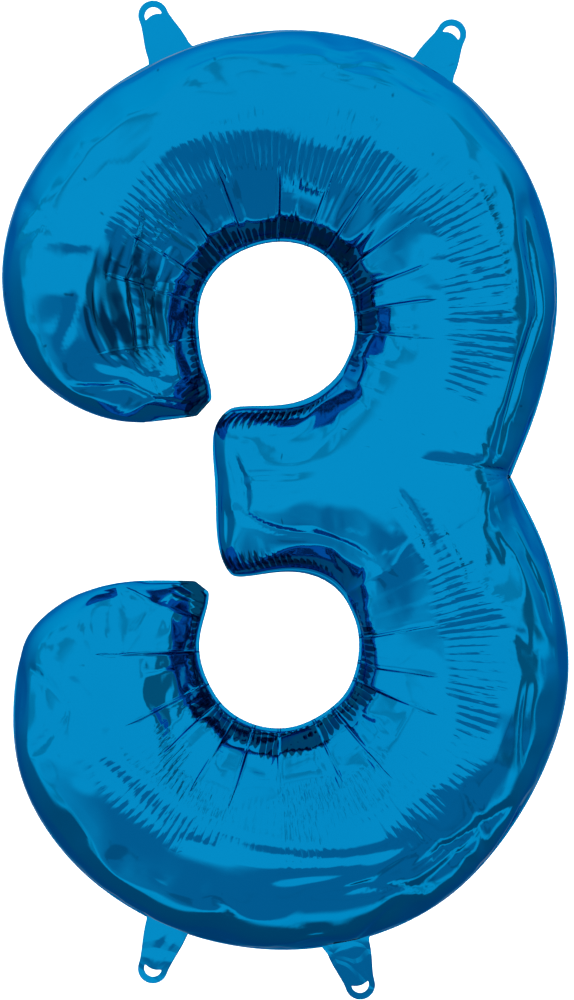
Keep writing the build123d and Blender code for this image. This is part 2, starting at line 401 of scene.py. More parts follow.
def gathers(along, away, spacing, reach, depth, seed_rng, tilt=0.25):
    """Valleys that start at a weld: depth at each grid point, from its place along and away from it."""
    total = along[-1, 0]
    result = np.zeros_like(away)
    place = seed_rng.uniform(0, spacing)
    while place < total:
        strength = seed_rng.uniform(0.35, 1.0)
        run = reach * seed_rng.uniform(0.55, 1.35)
        lean = seed_rng.uniform(-tilt, tilt)
        width = spacing * seed_rng.uniform(0.22, 0.34)
        near_by = (np.abs(along[:, 0] - place) < 4 * spacing + reach * tilt).nonzero()[0]
        part = slice(near_by[0], near_by[-1] + 1)
        off = along[part] - place - lean * away[part] * 0.5
        spread = width * (1 + away[part] / (run * 0.9))
        fade = np.exp(-(away[part] / run) ** 2) * (1 - np.exp(-away[part] / 2.5))
        puff = 0.32 * np.clip((away[part] - 8) / 30, 0, 1)
        result[part] += depth * strength * fade * (np.exp(-np.abs(off) / spread) - puff)
        place += spacing * seed_rng.uniform(0.6, 1.5)
    return result


def arc(points):
    """Distance from the first row, down every column of a grid."""
    steps = np.linalg.norm(np.diff(points, axis=1), axis=2)
    return np.concatenate([np.zeros((len(points), 1)), np.cumsum(steps, axis=1)], axis=1)


MIDDLE_ROW = 44
PLAIN_END = 34  # columns at each end of the stroke whose creases have no ridge
grid = skin[stroke_ids]
down = arc(grid)
up = down[:, -1:] - down
inner_run = lengths(stroke_plan[:, 0])[:, None] + 0 * down
outer_run = lengths(stroke_plan[:, -1])[:, None] + 0 * down
middle_run = lengths(grid[:, MIDDLE_ROW])[:, None] + 0 * down
on_counter = np.clip(np.maximum(lo - column, column - hi) / 10.0, 0, 1)[:, None]

# flat panels: between two long creases the wall follows the straight line from one to the other
panel_ends = [0]
while panel_ends[-1] < len(grid) - 1:
    panel_ends.append(min(panel_ends[-1] + int(rng.uniform(11, 24)), len(grid) - 1))
crease_off = np.full_like(down, 1e3)
panels = grid.copy()
panel_tone = np.zeros_like(down)
for a, b in zip(panel_ends, panel_ends[1:]):
    t = (np.arange(a, b + 1) - a) / max(b - a, 1)
    straight = grid[a][None] * (1 - t)[:, None, None] + grid[b][None] * t[:, None, None]
    reach_out = rng.uniform(78, 118)
    hold = soft(down[a:b + 1], 2, 14) * (1 - soft(down[a:b + 1], reach_out * 0.72, reach_out))
    hold = hold * on_counter[a:b + 1]
    panels[a:b + 1] += hold[:, :, None] * (straight - grid[a:b + 1])
    tilt, pitch = rng.uniform(-1, 1) * 1.8, rng.uniform(-1, 1) * 0.09
    panel_tone[a:b + 1] = hold * ((t - 0.5)[:, None] * 2 * tilt + pitch * (down[a:b + 1] - 60))
    side = np.minimum(np.arange(a, b + 1) - a, b - np.arange(a, b + 1))[:, None]
    spacing = np.linalg.norm(grid[min(a + 1, len(grid) - 1)] - grid[a], axis=1)[None]
    off = side * spacing + 6.0 * soft(down[a:b + 1], reach_out * 0.85, reach_out * 1.1)
    crease_off[a:b + 1] = np.minimum(crease_off[a:b + 1], off)
crease_off[:PLAIN_END] = crease_off[-PLAIN_END:] = 1e3
grid = panels
skin[stroke_ids] = grid
dent = np.zeros_like(down)
dent += on_counter * gathers(inner_run, down, 24, 60, 1.4, rng)
dent += on_counter * gathers(inner_run, down, 48, 100, 3.0, rng, 0.2)
dent += gathers(outer_run, up, 46, 40, 0.8, rng, 0.4)
dent += panel_tone
dents = np.zeros(len(flat))
dents[stroke_ids] = dent
bar_grid = skin[bar_ids]
bar_down = arc(bar_grid)
bar_run = lengths(bar_plan[:, 0])[:, None] + 0 * bar_down
bar_up = bar_down[:, -1:] - bar_down
end_fade = np.clip(np.arange(len(bar_grid)) / 8.0, 0, 1)[:, None]
bar_dent = end_fade * gathers(bar_run, bar_down, 14, 24, 1.2, rng)
bar_dent += end_fade * gathers(bar_run, bar_up, 14, 26, 1.2, rng)
bar_dent += end_fade * gathers(bar_run, bar_down, 30, 45, 2.0, rng)
bar_dent += end_fade * gathers(bar_run, bar_up, 30, 45, 2.0, rng)
dents[bar_ids] += bar_dent

# creases with a place of their own: from, to, depth and width in millimetres
creases = [
    ("notch", (197, 24), (118, 34), 9, 9), ("waist top", (197, 150), (98, 149), 3.5, 7),
    ("waist foot", (172, -80), (120, -92), 3, 6), ("crown left", (-64, 306), (-24, 222), 4, 8),
    ("crown middle", (12, 328), (6, 224), 4, 8), ("crown right", (66, 298), (30, 218), 5, 8),
    ("shoulder", (128, 288), (48, 202), 7, 10), ("cheek", (90, 194), (58, 176), 3, 6),
    ("brow left", (-126, 252), (-60, 208), 5, 9), ("temple", (-138, 192), (-72, 184), 4, 8),
    ("bar left", (-47, 36), (-33, 2), 4, 6), ("bar upper", (-38, 22), (50, 28), 3, 6),
    ("bar lower", (-38, 10), (32, 14), 3, 6), ("fold one", (92, 14), (144, -86), 5, 8),
    ("fold two", (106, 18), (150, -70), 4, 7), ("right upper", (206, 250), (218, 160), 3, 7),
    ("right waist", (216, 162), (176, 36), 4, 8), ("right lower", (208, -48), (227, -108), 3, 6),
    ("right foot", (208, -154), (203, -218), 3, 6), ("toe", (-152, -224), (-100, -274), 5, 9),
    ("sole left", (-90, -286), (-8, -304), 4, 9), ("fill", (96, -346), (62, -388), 6, 8),
    ("lens one", (-10, -322), (60, -314), 4, 9), ("lens two", (50, -336), (118, -300), 4, 9),
    ("heel one", (98, -280), (168, -330), 4, 8), ("heel two", (112, -330), (168, -286), 4, 8),
    ("tip left", (-172, 196), (-190, 130), 4, 7), ("tip low", (-172, 96), (-86, 82), 4, 5),
    ("streak one", (-120, 270), (-112, 110), 4, 8), ("streak two", (-152, 230), (-120, 100), 3.5, 8),
    ("streak three", (-96, 150), (-112, 100), 3, 6), ("kite one", (-226, 262), (-196, 226), 4, 9),
    ("kite two", (-224, 222), (-196, 240), 3, 8), ("kite three", (-216, -146), (-188, -180), 4, 9),
    ("kite four", (-214, -214), (-186, -176), 3, 8),
]
for name, start, end, depth, width in creases:
    a, b = np.array(start, float), np.array(end, float)
    d = (b - a) / np.linalg.norm(b - a)
    rel = flat - a
    t = rel @ d / np.linalg.norm(b - a)
    bow = 3.0 * np.sin(np.pi * np.clip(t, 0, 1)) * rng.uniform(-1, 1)
    off = rel @ np.array([-d[1], d[0]]) - bow
    fade = np.clip(t + 0.12, 0, 1) * np.clip(1.12 - t, 0, 1) * 4 * (t > -0.12) * (t < 1.12)
    valley = np.exp(-np.abs(off) / (width * 0.6)) - 0.45 * np.exp(-(off / (2.6 * width)) ** 2)
    dents += depth * 0.6 * np.clip(fade, 0, 1) * valley

# folds that follow a bowed path: start, middle and end, depth and width in millimetres
PLEATS = 7  # the first folds in the list are the pleats beside the upper counter, which get painted dark shade
folds = [
    ((-112, 250), (-150, 168), (-106, 92), 7.0, 3.2), ((-122, 240), (-160, 164), (-112, 92), -4.0, 3.5),
    ((-130, 246), (-172, 160), (-117, 94), 7.5, 3.6), ((-104, 232), (-138, 164), (-101, 96), 6.0, 3.0),
    ((-142, 236), (-184, 160), (-124, 97), 6.0, 4.0), ((-98, 214), (-126, 160), (-96, 104), 5.0, 3.0),
    ((-152, 214), (-186, 158), (-134, 102), -3.5, 4.0),
    ((-168, 112), (-120, 88), (-72, 84), -3.5, 4.0), ((-170, 122), (-120, 100), (-74, 96), 3.5, 5.0),
    ((98, -262), (134, -300), (176, -318), 6.0, 6.0), ((104, -318), (140, -296), (190, -262), 6.0, 6.0),
    ((-14, -300), (40, -312), (110, -290), 4.5, 5.0), ((20, -338), (74, -322), (126, -334), 4.5, 5.0),
    ((150, -238), (176, -268), (172, -322), 4.0, 5.0), ((-60, -282), (-8, -306), (44, -300), 3.5, 5.0),
    ((92, 12), (128, -40), (142, -92), 5.0, 5.0), ((104, 16), (140, -30), (154, -78), -4.0, 5.0),
    ((-40, 20), (-20, 24), (48, 20), 3.0, 4.0), ((-46, 44), (-40, 20), (-34, -4), 3.0, 4.0),
    ((-38, -10), (-18, -28), (22, -30), 2.5, 5.0), ((22, -30), (58, -34), (96, -70), 2.5, 5.0),
    ((118, 200), (160, 210), (176, 170), 2.5, 6.0), ((64, 372), (96, 366), (132, 342), 2.5, 5.0),
]
pleat_shade = np.zeros(len(flat))
for number, (start, middle, end, depth, width) in enumerate(folds):
    t = np.linspace(0, 1, 48)[:, None]
    path = (1 - t) ** 2 * np.array(start) + 2 * t * (1 - t) * np.array(middle) + t * t * np.array(end)
    gap = np.linalg.norm(flat[:, None, :] - path[None], axis=2)
    nearest = gap.argmin(axis=1)
    ends = np.sin(np.pi * np.clip(nearest / 47, 0.02, 0.98)) ** 0.5
    off = gap.min(axis=1)
    dents += depth * ends * (np.exp(-off / width) - 0.4 * np.exp(-(off / (2.5 * width)) ** 2))
    # painted shade: a dark strip beside each of the first folds
    if number < PLEATS:
        beside = off - 3.6 + 1.4 * np.sin(nearest / 6.0 + 2 * number)
        pleat_shade = np.maximum(pleat_shade, ends ** 2 * np.exp(-(beside / 2.2) ** 2))

# broad panels between the long creases, never quite flat
for size, amount in ((90, 1.1), (45, 0.35)):
    for k in range(14):
        turn = rng.uniform(0, math.pi)
        wave = 2 * math.pi / (size * rng.uniform(0.8, 1.5))
        phase = rng.uniform(0, 2 * math.pi)
        across = flat[:, 0] * math.cos(turn) + flat[:, 1] * math.sin(turn)
        dents += amount / 3.7 * np.sin(wave * across + phase)
edge_fade = np.clip(high / 14.0, 0, 1)
lifted = soft(high, 4, 30)[:, None]
direction = outward * lifted + np.array([[0, -1.0, 0]]) * (1 - lifted)
skin = skin - direction * (dents * edge_fade)[:, None]
skin[:, 1] = np.minimum(skin[:, 1], -0.05)
print("creases", len(creases), "folds", len(folds), "panels", len(panel_ends) - 1)
print("deepest", round(float(dents.max()), 1), "mm")

# what the material needs: two runs along the stroke, the way from the weld, how rippled, and where
# shade is painted; each stretch between two long creases draws one number, and shifted copies of it
# vary the rest. The band beside each weld sets both the fine ripple and the painted dark shade
runs = np.zeros((len(flat), 3))
amounts = np.zeros((len(flat), 3))
amounts[:, 2] = 30.0
runs[bar_ids] = np.stack([bar_run, bar_run, np.minimum(bar_down, bar_up)], axis=2)
near_bar = np.minimum(bar_down, bar_up)
toward_waist = 1 - soft(np.arange(len(bar_grid)), 8, 30)[:, None]
beside_bar = soft(near_bar, 2, 9) * (1 - soft(near_bar, 18, 36))
# the bar's weld band: amount of fine ripple and of painted dark shade
amounts[bar_ids, 1] = (0.45 + 0.4 * toward_waist) * end_fade * beside_bar
runs[stroke_ids] = np.stack([middle_run, inner_run, down], axis=2)
sector = np.repeat(rng.uniform(0.0, 1.0, len(panel_ends)), np.diff(panel_ends + [len(grid)]))
sector = sector[:len(grid), None]
begin = 58 + 22 * np.roll(sector, 37, axis=0)
finish = 112 + 26 * np.roll(sector, 61, axis=0)
from_centre = stroke_plan[:, MIDDLE_ROW] - np.where(column[:, None] < len(column) // 2, UPPER, LOWER)
angle_of = np.degrees(np.arctan2(from_centre[:, 1], from_centre[:, 0]))
left_side = soft(np.abs(angle_of), 140, 156)[:, None]
right_side = (1 - soft(np.abs(angle_of), 28, 55))[:, None]
begin = begin + 36 * right_side
finish = finish + 26 * right_side
comb = (0.35 + 0.65 * sector) * (1 - left_side) * soft(down, begin, begin + 10)
comb *= 1 - soft(down, finish, finish + 16)
amounts[stroke_ids, 0] = comb * on_counter
# the band beside the counter's weld: amount of fine ripple and of painted dark shade
band_end = 26 + 14 * np.roll(sector, 11, axis=0)
band = (0.62 + 0.5 * np.roll(sector, 83, axis=0)) * soft(down, 0.5, 5)
band *= 1 - soft(down, band_end - 7, band_end + 7)
band *= 1 - left_side * soft(down, 9, 20)
amounts[stroke_ids, 1] = on_counter * np.minimum(band, 1)
amounts[stroke_ids, 2] = np.minimum(crease_off, 30) + 30 * (1 - on_counter)

# %% [markdown]
# ## From numbers to a film
# The mesh operator makes each grid, the points take their places from the plan, and the shared
# line is merged. The weld is then pulled out of the open edge as a flat band, and the film gets a
# thickness towards the gas. Both films come from the same mould, because both were cut alike.

# %% Make the mesh of one film
WELD_Y = -0.0002  # where the front film's weld lies, just in front of the seam plane


def grid_mesh(bm, ids, points):
    """A grid of faces whose points take the places given, and carry the material's numbers."""
    columns, rows = ids.shape
    made = bmesh.ops.create_grid(bm, x_segments=rows - 1, y_segments=columns - 1, size=1.0)["verts"]
    run_layer = bm.verts.layers.float_vector["runs"]
    amount_layer = bm.verts.layers.float_vector["amounts"]
    pleat_layer = bm.verts.layers.float["painted_pleat_shade"]
    for v in list(bm.verts)[-len(made):]:
        j = round((v.co.x + 1) / 2 * (rows - 1))
        i = round((v.co.y + 1) / 2 * (columns - 1))
        k = ids[i, j]
        v.co = points[k]
        v[run_layer] = runs[k]
        v[amount_layer] = amounts[k]
        v[pleat_layer] = pleat_shade[k]


def rim_in_order(bm):
    """The open edge's points, one after the other round the film."""
    follow = {}
    for e in bm.edges:
        if e.is_boundary:
            loop = e.link_loops[0]
            follow[loop.vert] = loop.link_loop_next.vert
    start = next(iter(follow))
    order = [start]
    while follow[order[-1]] is not start:
        order.append(follow[order[-1]])
    return order


def weld_band(bm, width):
    """The flat weld, pulled out square to the open edge in two steps and rounded at its corners."""
    order = rim_in_order(bm)
    ring = np.array([(v.co.x, v.co.z) for v in order])
    area = np.sum(ring[:, 0] * np.roll(ring[:, 1], -1) - np.roll(ring[:, 0], -1) * ring[:, 1])
    along = np.roll(ring, -3, axis=0) - np.roll(ring, 3, axis=0)
    along /= np.linalg.norm(along, axis=1)[:, None] + 1e-12
    square = np.stack([along[:, 1], -along[:, 0]], axis=1) * (1 if area > 0 else -1)
    edge = ring + square * width
    for _ in range(40):
        edge = 0.5 * edge + 0.25 * (np.roll(edge, 1, axis=0) + np.roll(edge, -1, axis=0))
    number = {v: k for k, v in enumerate(order)}
    for share in (0.45, 1.0):
        rim = [e for e in bm.edges if e.is_boundary]
        made = bmesh.ops.extrude_edge_only(bm, edges=rim)["geom"]
        verts = {g for g in made if isinstance(g, bmesh.types.BMVert)}
        fresh = {}
        for v in verts:
            source = next(e.other_vert(v) for e in v.link_edges if e.other_vert(v) in number)
            k = number[source]
            fresh[v] = k
            x, z = ring[k] * (1 - share) + edge[k] * share
            v.co = Vector((x, WELD_Y, z))
        number = fresh


def finish_mesh(name, bm):
    """A mesh object at the origin, smooth shaded, in the scene."""
    mesh = bpy.data.meshes.new(name)
    bm.to_mesh(mesh)
    bm.free()
    mesh.shade_smooth()
    obj = bpy.data.objects.new(name, mesh)
    bpy.context.scene.collection.objects.link(obj)
    return obj


place = (skin + np.array([shift[0], 0, shift[1]])) * MM
bm = bmesh.new()
bm.verts.layers.float_vector.new("runs")
bm.verts.layers.float_vector.new("amounts")
bm.verts.layers.float.new("painted_pleat_shade")
grid_mesh(bm, stroke_ids, place)
grid_mesh(bm, bar_ids, place)
bmesh.ops.remove_doubles(bm, verts=bm.verts, dist=0.000001)
weld_band(bm, SEAM * MM)
for v in bm.verts:
    v.co.y = min(v.co.y, WELD_Y)
front = finish_mesh("front_foil", bm)
print("front film", len(front.data.vertices), "points", len(front.data.polygons), "faces")

# %% [markdown]
# ## Cut to size, then pulled tight
# A short cloth simulation with gas pressure pulls the panels taut between their creases, which
# turns drawn valleys into the crisp folds of a film that cannot stretch. The weld is held still.

# %% Pull the film tight with gas pressure
def pull_tight(obj, frames):
    """A few frames of cloth under pressure, with the weld pinned, applied to the mesh."""
    mesh = obj.data
    pin = obj.vertex_groups.new(name="weld")
    held = [v.index for v in mesh.vertices if v.co.y > -0.0006]
    pin.add(held, 1.0, "REPLACE")
    cloth = obj.modifiers.new("gas", "CLOTH")
    s = cloth.settings
    s.quality = 6
    s.mass = 0.02
    s.tension_stiffness = s.compression_stiffness = 40
    s.shear_stiffness = 20
    s.bending_stiffness = 0.05
    s.tension_damping = s.compression_damping = 5
    s.air_damping = 4
    s.use_pressure = True
    s.uniform_pressure_force = 6.0
    s.vertex_group_mass = "weld"
    s.effector_weights.gravity = 0
    cloth.collision_settings.use_collision = False
    cloth.point_cache.frame_end = frames
    scene = bpy.context.scene
    for frame_number in range(1, frames + 1):
        scene.frame_set(frame_number)
    depsgraph = bpy.context.evaluated_depsgraph_get()
    moved = np.zeros(len(mesh.vertices) * 3)
    obj.evaluated_get(depsgraph).data.vertices.foreach_get("co", moved)
    obj.modifiers.remove(cloth)
    obj.vertex_groups.remove(pin)
    scene.frame_set(1)
    return moved.reshape(-1, 3)


MOST_MOVE, KEPT_SHARE = 0.006, 0.62
drawn = np.zeros(len(front.data.vertices) * 3)
front.data.vertices.foreach_get("co", drawn)
drawn = drawn.reshape(-1, 3)
moved = pull_tight(front, 12) - drawn
size = np.linalg.norm(moved, axis=1)[:, None]
moved *= np.minimum(1, MOST_MOVE / np.maximum(size, 1e-9)) * KEPT_SHARE
front.data.vertices.foreach_set("co", (drawn + moved).ravel())
most, mean = (round(float(value) / MM, 3) for value in (size.max(), size.mean()))
print("simulated move up to", most, "mm, mean", mean)

# %% [markdown]
# ## Foil
# The colour of a foil balloon is a transparent blue lacquer over a metal mirror, so the material
# is metal tinted blue, nearly smooth, with a faint crinkle from being folded flat in its packet.
# The tabs are rougher. Beside the counters and in the pleats the film mirrors itself many times
# over, and a darker blue stands in for that.

# %% Materials
def group(name, outputs, inputs=()):
    """A node group with sockets made through its interface."""
    g = bpy.data.node_groups.new(name, "ShaderNodeTree")
    for socket, kind, value in inputs:
        made = g.interface.new_socket(name=socket, in_out="INPUT", socket_type=kind)
        made.default_value = value
    for socket, kind in outputs:
        g.interface.new_socket(name=socket, in_out="OUTPUT", socket_type=kind)
    return g, g.nodes.new("NodeGroupInput"), g.nodes.new("NodeGroupOutput")


def add(tree, kind, inputs=None, **settings):
    """A node with its settings; an input that is given a socket is linked to it."""
    node = tree.nodes.new("ShaderNode" + kind)
    for key, value in settings.items():
        setattr(node, key, value)
    for key, value in (inputs or {}).items():
        if isinstance(value, bpy.types.NodeSocket):
            tree.links.new(value, node.inputs[key])
        else:
            node.inputs[key].default_value = value
    return node


def crinkle_group():
    """Faint folds and fine ripple of thin film: a height and a mask of the fold lines."""
    g, gin, gout = group("Film crinkle", [("Height", "NodeSocketFloat"), ("Folds", "NodeSocketFloat")],
                         [("Vector", "NodeSocketVector", (0, 0, 0))])
    at = gin.outputs["Vector"]
    warp = add(g, "TexNoise", {"Vector": at, "Scale": 14, "Detail": 2})
    bent = add(g, "MixRGB", {0: 0.06, 1: at, 2: warp.outputs["Color"]}, blend_type="ADD")
    cells = add(g, "TexVoronoi", {"Vector": bent.outputs[0], "Scale": 26}, feature="DISTANCE_TO_EDGE")
    folds = add(g, "MapRange", {"Value": cells.outputs["Distance"], "From Max": 0.12})
    ripple = add(g, "TexNoise", {"Vector": at, "Scale": 60, "Detail": 3, "Roughness": 0.45})
    height = add(g, "Math", {0: ripple.outputs["Fac"], 1: 0.35, 2: folds.outputs["Result"]},
                 operation="MULTIPLY_ADD")
    g.links.new(height.outputs[0], gout.inputs["Height"])
    g.links.new(folds.outputs["Result"], gout.inputs["Folds"])
    return g


def tint_group():
    """Slow change of the blue lacquer over the sheet."""
    g, gin, gout = group("Lacquer tint", [("Color", "NodeSocketColor")],
                         [("Vector", "NodeSocketVector", (0, 0, 0))])
    noise = add(g, "TexNoise", {"Vector": gin.outputs["Vector"], "Scale": 5, "Detail": 3})
    ramp = add(g, "ValToRGB", {"Fac": noise.outputs["Fac"]})
    stops = ((0.35, (0.0009, 0.252, 0.560, 1)), (0.65, (0.0012, 0.266, 0.578, 1)))
    for element, (position, color) in zip(ramp.color_ramp.elements, stops):
        element.position, element.color = position, color
    g.links.new(ramp.outputs["Color"], gout.inputs["Color"])
    return g


# millimetres: how far apart the two kinds of ripple stand and how high they are
COMB_PERIOD, COMB_HEIGHT = 7.6, 1.25
TEETH_PERIOD, TEETH_HEIGHT = 5.2, 0.8
RIDGE_HEIGHT, RIDGE_REACH = 0.9, 2.2


def gather_group():
    """Fine ripples that run away from a weld, and the ridge of each long crease, in millimetres, and a mask
    of painted shade beside the weld.
    """
    g, gin, gout = group("Film gathers", [("Height", "NodeSocketFloat"), ("Shade", "NodeSocketFloat")],
                         [(name, "NodeSocketVector", (0, 0, 0)) for name in ("Runs", "Amounts")])

    def calc(operation, a, b=None):
        given = {k: value for k, value in enumerate((a, b)) if value is not None}
        return add(g, "Math", given, operation=operation).outputs[0]

    def noise_of(run, away, along_scale, away_scale):
        place = {0: calc("MULTIPLY", run, along_scale), 1: calc("MULTIPLY", away, away_scale)}
        join = add(g, "CombineXYZ", place)
        return add(g, "TexNoise", {"Vector": join.outputs[0], "Scale": 1.0, "Detail": 2.0}).outputs["Fac"]

    def ripple(run, away, period, unsteady):
        turn = calc("MULTIPLY", run, math.pi / period)
        sway = calc("MULTIPLY", noise_of(run, away, 0.05, 0.02), unsteady)
        cusp = calc("ABSOLUTE", calc("SINE", calc("ADD", turn, sway)))
        share = calc("MULTIPLY", noise_of(run, away, 0.16, 0.05), 1.5)
        return calc("MULTIPLY", cusp, calc("SUBTRACT", share, 0.2))

    middle, inner, away = add(g, "SeparateXYZ", {0: gin.outputs["Runs"]}).outputs
    comb, teeth_and_shade, crease = add(g, "SeparateXYZ", {0: gin.outputs["Amounts"]}).outputs
    fine = ripple(inner, away, TEETH_PERIOD, 2.5)
    total = calc("MULTIPLY", calc("MULTIPLY", ripple(middle, away, COMB_PERIOD, 2.6), comb), COMB_HEIGHT)
    total = calc("ADD", total, calc("MULTIPLY", calc("MULTIPLY", fine, teeth_and_shade), TEETH_HEIGHT))
    ridge = add(g, "MapRange", {"Value": crease, "From Max": RIDGE_REACH, "To Min": RIDGE_HEIGHT,
                                "To Max": 0.0}, interpolation_type="SMOOTHSTEP")
    total = calc("ADD", total, ridge.outputs["Result"])
    g.links.new(total, gout.inputs["Height"])
    # painted shade: the weld band with a serrated edge, kept off the crease ridges
    serrated_shade = calc("ADD", teeth_and_shade, calc("MULTIPLY", calc("SUBTRACT", fine, 0.3), 0.9))
    shade = add(g, "MapRange", {"Value": serrated_shade, "From Min": 0.45, "From Max": 0.62},
                interpolation_type="SMOOTHSTEP")
    open_film = add(g, "MapRange", {"Value": crease, "From Min": 0.6, "From Max": 1.6})
    dark = calc("MULTIPLY", shade.outputs["Result"], open_film.outputs["Result"])
    g.links.new(dark, gout.inputs["Shade"])
    return g


CRINKLE, TINT, GATHERS = crinkle_group(), tint_group(), gather_group()
# painted shade colours: dark blues mixed in along the weld band and beside the pleats
BAND_SHADE_BLUE = (0.0006, 0.054, 0.132, 1)
PLEAT_SHADE_BLUE = (0.0006, 0.056, 0.140, 1)


def foil_material(name, roughness, bump, gathered):
    """Blue metallised film; a gathered one reads the ripples and the places of painted shade from its mesh.
    """
    m = bpy.data.materials.new(name)
    m.use_nodes = True
    tree = m.node_tree
    shader = tree.nodes["Principled BSDF"]
    where = add(tree, "TexCoord").outputs["Object"]
    crinkle = add(tree, "Group", node_tree=CRINKLE)
    tint = add(tree, "Group", node_tree=TINT)
    for node in (crinkle, tint):
        tree.links.new(where, node.inputs["Vector"])
    color = tint.outputs["Color"]
    rough = add(tree, "MapRange", {"Value": crinkle.outputs["Folds"], "To Min": roughness + 0.05,
                                   "To Max": roughness})
    tree.links.new(rough.outputs["Result"], shader.inputs["Roughness"])
    dent = add(tree, "Bump", {"Strength": bump, "Distance": 0.001, "Height": crinkle.outputs["Height"]})
    if gathered:
        runs_in, amounts_in, pleats_in = (add(tree, "Attribute", attribute_name=name)
                                          for name in ("runs", "amounts", "painted_pleat_shade"))
        gather = add(tree, "Group", node_tree=GATHERS)
        tree.links.new(runs_in.outputs["Vector"], gather.inputs["Runs"])
        tree.links.new(amounts_in.outputs["Vector"], gather.inputs["Amounts"])
        dent = add(tree, "Bump", {"Distance": 0.001, "Height": gather.outputs["Height"],
                                  "Normal": dent.outputs["Normal"]})
        pleat = add(tree, "MapRange", {"Value": pleats_in.outputs["Fac"], "From Min": 0.18, "From Max": 0.70},
                    interpolation_type="SMOOTHSTEP")
        # painted shade: darker blue mixed in along the weld band and beside the pleats
        for mask, dark in ((gather.outputs["Shade"], BAND_SHADE_BLUE), (pleat.outputs["Result"], PLEAT_SHADE_BLUE)):
            mixed = add(tree, "Mix", {"Factor": mask, "A": color, "B": dark}, data_type="RGBA")
            color = mixed.outputs["Result"]
    tree.links.new(color, shader.inputs["Base Color"])
    tree.links.new(dent.outputs["Normal"], shader.inputs["Normal"])
    shader.inputs["Metallic"].default_value = 1.0
    shader.inputs["Specular Tint"].default_value = (0.0, 0.45, 0.75, 1)
    return m


foil = foil_material("blue foil", 0.07, 0.012, True)
tab_foil = foil_material("blue foil tabs", 0.12, 0.30, False)
clear = bpy.data.materials.new("clear valve film")
clear.use_nodes = True
for key, value in (("Base Color", (0.10, 0.42, 0.70, 1)), ("Roughness", 0.35), ("Transmission Weight", 0.8),
                   ("IOR", 1.5)):
    clear.node_tree.nodes["Principled BSDF"].inputs[key].default_value = value
for node in ("valve_front_ply", "valve_back_ply", "valve_back_leaf"):
    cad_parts[node].data.materials.clear()
    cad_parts[node].data.materials.append(clear)

# %% [markdown]
# ## The second film
# The back film is cut with the same die and gathers in the same places, so it is a mirrored copy
# of the front one, with its faces turned to point outwards again.

# %% Make the back film and give both a thickness
back_mesh = front.data.copy()
bm = bmesh.new()
bm.from_mesh(back_mesh)
for v in bm.verts:
    v.co.y = -v.co.y
bmesh.ops.reverse_faces(bm, faces=bm.faces)
bm.to_mesh(back_mesh)
bm.free()
back_mesh.shade_smooth()
back = bpy.data.objects.new("back_foil", back_mesh)
back_mesh.name = "back_foil"
bpy.context.scene.collection.objects.link(back)
for obj, node, towards in ((front, "front_film", -1), (back, "back_film", 1)):
    bm = bmesh.new()
    bm.from_mesh(obj.data)
    mean = sum((f.normal.y * f.calc_area() for f in bm.faces))
    if mean * towards < 0:
        bmesh.ops.reverse_faces(bm, faces=bm.faces)
    bm.to_mesh(obj.data)
    bm.free()
    obj.data.materials.append(foil)
    wall = obj.modifiers.new("film", "SOLIDIFY")
    wall.thickness = 0.00015
    wall.offset = -1
    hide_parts(node)
    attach(obj, "balloon")

# %% [markdown]
# ## Hanging tabs
# Each tab is both films welded flat, with a crescent hole near its rounded end. It is drawn as an
# outer loop and a hole loop that are bridged with rings of faces, and it bends softly at its root.

# %% Make the four tabs
# root, turn in degrees, length, how far the tab leans back, and its dents: across, along and turn
# of the dent's line, then its length, width and height
TABS = {
    "top_left_tab": ((-100.0, 388.0), 113.5, 46.7, 0.0,
                     ((-12, 8, 70, 10, 3, 0.35), (9, 24, 20, 12, 5, 0.25))),
    "top_right_tab": ((129.5, 375.0), 62.0, 44.5, 0.0,
                      ((-8, 17, 78, 13, 3, 0.9), (-11, 12, 60, 8, 3, -0.7), (11, 8, 84, 8, 3, 0.8),
                       (3, 22, 40, 9, 4, 0.4))),
    "bottom_left_tab": ((-101.0, -367.5), 251.0, 52.0, 0.0,
                        ((2, 10, 62, 9, 3, 0.9), (-9, 12, 84, 5, 3, 0.8), (1, 30, 8, 13, 4, 1.0),
                         (0, 22, 80, 8, 3, -0.6))),
    "bottom_right_tab": ((55.0, -385.5), 287.5, 48.2, -0.16,
                         ((-3, 14, 82, 18, 6, 0.8), (-9, 22, 88, 16, 3, -0.5))),
}
ROOT, TIP, EDGE, HORN, RISE, THICK = 38.0, 26.0, 6.0, 14.8, 8.6, 6.4
INSIDE = 9.0  # how far a tab reaches back under the film
SHARES = (0, 0.03, 0.07, 0.12, 0.2, 0.28, 0.36, 0.44, 0.52, 0.6, 0.68, 0.76, 0.84, 0.91, 0.96, 1.0)


def loop_points(points, count):
    """Points evenly spaced round a closed run."""
    closed = np.array(list(points) + [points[0]], float)
    along = lengths(closed)
    wanted = np.linspace(0, along[-1], count, endpoint=False)
    return np.stack([np.interp(wanted, along, closed[:, c]) for c in (0, 1)], axis=1)


